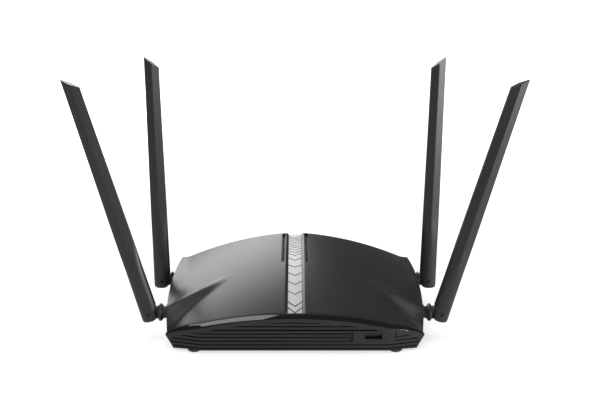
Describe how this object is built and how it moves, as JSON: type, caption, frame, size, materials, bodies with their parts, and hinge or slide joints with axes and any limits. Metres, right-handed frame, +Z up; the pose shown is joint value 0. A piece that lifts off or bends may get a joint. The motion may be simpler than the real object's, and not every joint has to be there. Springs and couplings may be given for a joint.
{
  "type": "wireless router",
  "caption": "Desk wireless router: arched two-part housing, chevron strip, louvred front with a USB port, rear sockets and hinged, swivelling blade antennas.",
  "frame": {"origin": "on the table under the middle of the object's box", "axes": "+Z up, -Y towards the louvred front, +X to the right as seen from the front"},
  "size_m": [0.3676, 0.156, 0.2309],
  "materials": {
    "cover_plastic": "fine satin moulded plastic",
    "tray_plastic": "satin moulded plastic",
    "gloss_black": "piano black",
    "silver_strip": "silver metallised plastic with chevron grooves",
    "clear_guide": "clear light guide",
    "rubber": "soft rubber",
    "screw_steel": "zinc plated",
    "board_green": "solder mask",
    "sink_aluminium": "extruded",
    "can_steel": "tinned",
    "chip_black": "moulded epoxy",
    "capacitor_can": "sleeved can",
    "led_lens": "LED resin",
    "socket_yellow": "socket moulding",
    "socket_blue": "socket moulding",
    "cable_sheath": "coaxial sheath",
    "plug_brass": "gold flashed",
    "button_plastic": "satin",
    "antenna_plastic": "fine satin moulded plastic"
  },
  "bodies": {
    "housing": {"top_cover": "cover_plastic", "bottom_tray": "tray_plastic", "front_grille": "tray_plastic", "gloss_band": "gloss_black", "chevron_strip": "silver_strip", "light_guide": "clear_guide", "vent_grids": "tray_plastic", "rear_panel": "tray_plastic", "rubber_feet": "rubber", "case_screws": "screw_steel", "main_board": "board_green", "board_screws": "screw_steel", "heat_sink": "sink_aluminium", "shield_cans": "can_steel", "chips": "chip_black", "capacitors": "capacitor_can", "status_leds": "led_lens", "usb_port": "can_steel", "lan_sockets": "socket_yellow", "internet_socket": "socket_blue", "power_inlet": "chip_black", "power_switch": "chip_black", "pair_switch": "chip_black", "reset_switch": "chip_black", "antenna_sockets": "tray_plastic", "antenna_cables": "cable_sheath", "cable_plugs": "plug_brass"},
    "power_button": {"power_button": "button_plastic"},
    "pair_button": {"pair_button": "button_plastic"},
    "reset_button": {"reset_button": "button_plastic"},
    "swivel_front_left": {"swivel_front_left": "antenna_plastic", "clip_front_left": "screw_steel"},
    "antenna_front_left": {"pin_front_left": "screw_steel", "blade_face_front_left": "antenna_plastic", "blade_back_front_left": "antenna_plastic", "aerial_front_left": "board_green"},
    "swivel_front_right": {"swivel_front_right": "antenna_plastic", "clip_front_right": "screw_steel"},
    "antenna_front_right": {"pin_front_right": "screw_steel", "blade_face_front_right": "antenna_plastic", "blade_back_front_right": "antenna_plastic", "aerial_front_right": "board_green"},
    "swivel_rear_left": {"swivel_rear_left": "antenna_plastic", "clip_rear_left": "screw_steel"},
    "antenna_rear_left": {"pin_rear_left": "screw_steel", "blade_face_rear_left": "antenna_plastic", "blade_back_rear_left": "antenna_plastic", "aerial_rear_left": "board_green"},
    "swivel_rear_right": {"swivel_rear_right": "antenna_plastic", "clip_rear_right": "screw_steel"},
    "antenna_rear_right": {"pin_rear_right": "screw_steel", "blade_face_rear_right": "antenna_plastic", "blade_back_rear_right": "antenna_plastic", "aerial_rear_right": "board_green"}
  },
  "joints": [
    {"name": "power_press", "type": "slide", "parent": "housing", "child": "power_button", "axis": [0, -1, 0], "range_m": [0, 0.002], "stiffness_N_per_m": 400},
    {"name": "pair_press", "type": "slide", "parent": "housing", "child": "pair_button", "axis": [0, -1, 0], "range_m": [0, 0.0008], "stiffness_N_per_m": 400},
    {"name": "reset_press", "type": "slide", "parent": "housing", "child": "reset_button", "axis": [0, -1, 0], "range_m": [0, 0.0004], "stiffness_N_per_m": 300},
    {"name": "swivel_front_left", "type": "hinge", "parent": "housing", "child": "swivel_front_left", "pos_m": [-0.11, -0.0495, 0.024], "axis": [1, 0, 0], "range_deg": [-75, 90]},
    {"name": "tilt_front_left", "type": "hinge", "parent": "swivel_front_left", "child": "antenna_front_left", "pos_m": [-0.1247, -0.0495, 0.024], "axis": [0, -1, 0], "range_deg": [-14, 75]},
    {"name": "swivel_front_right", "type": "hinge", "parent": "housing", "child": "swivel_front_right", "pos_m": [0.11, -0.0495, 0.024], "axis": [1, 0, 0], "range_deg": [-75, 90]},
    {"name": "tilt_front_right", "type": "hinge", "parent": "swivel_front_right", "child": "antenna_front_right", "pos_m": [0.1247, -0.0495, 0.024], "axis": [0, 1, 0], "range_deg": [-14, 75]},
    {"name": "swivel_rear_left", "type": "hinge", "parent": "housing", "child": "swivel_rear_left", "pos_m": [-0.11, 0.0243, 0.024], "axis": [1, 0, 0], "range_deg": [-90, 40]},
    {"name": "tilt_rear_left", "type": "hinge", "parent": "swivel_rear_left", "child": "antenna_rear_left", "pos_m": [-0.1247, 0.0243, 0.024], "axis": [0, -1, 0], "range_deg": [0, 90]},
    {"name": "swivel_rear_right", "type": "hinge", "parent": "housing", "child": "swivel_rear_right", "pos_m": [0.11, 0.0243, 0.024], "axis": [1, 0, 0], "range_deg": [-90, 40]},
    {"name": "tilt_rear_right", "type": "hinge", "parent": "swivel_rear_right", "child": "antenna_rear_right", "pos_m": [0.1247, 0.0243, 0.024], "axis": [0, 1, 0], "range_deg": [0, 90]}
  ]
}
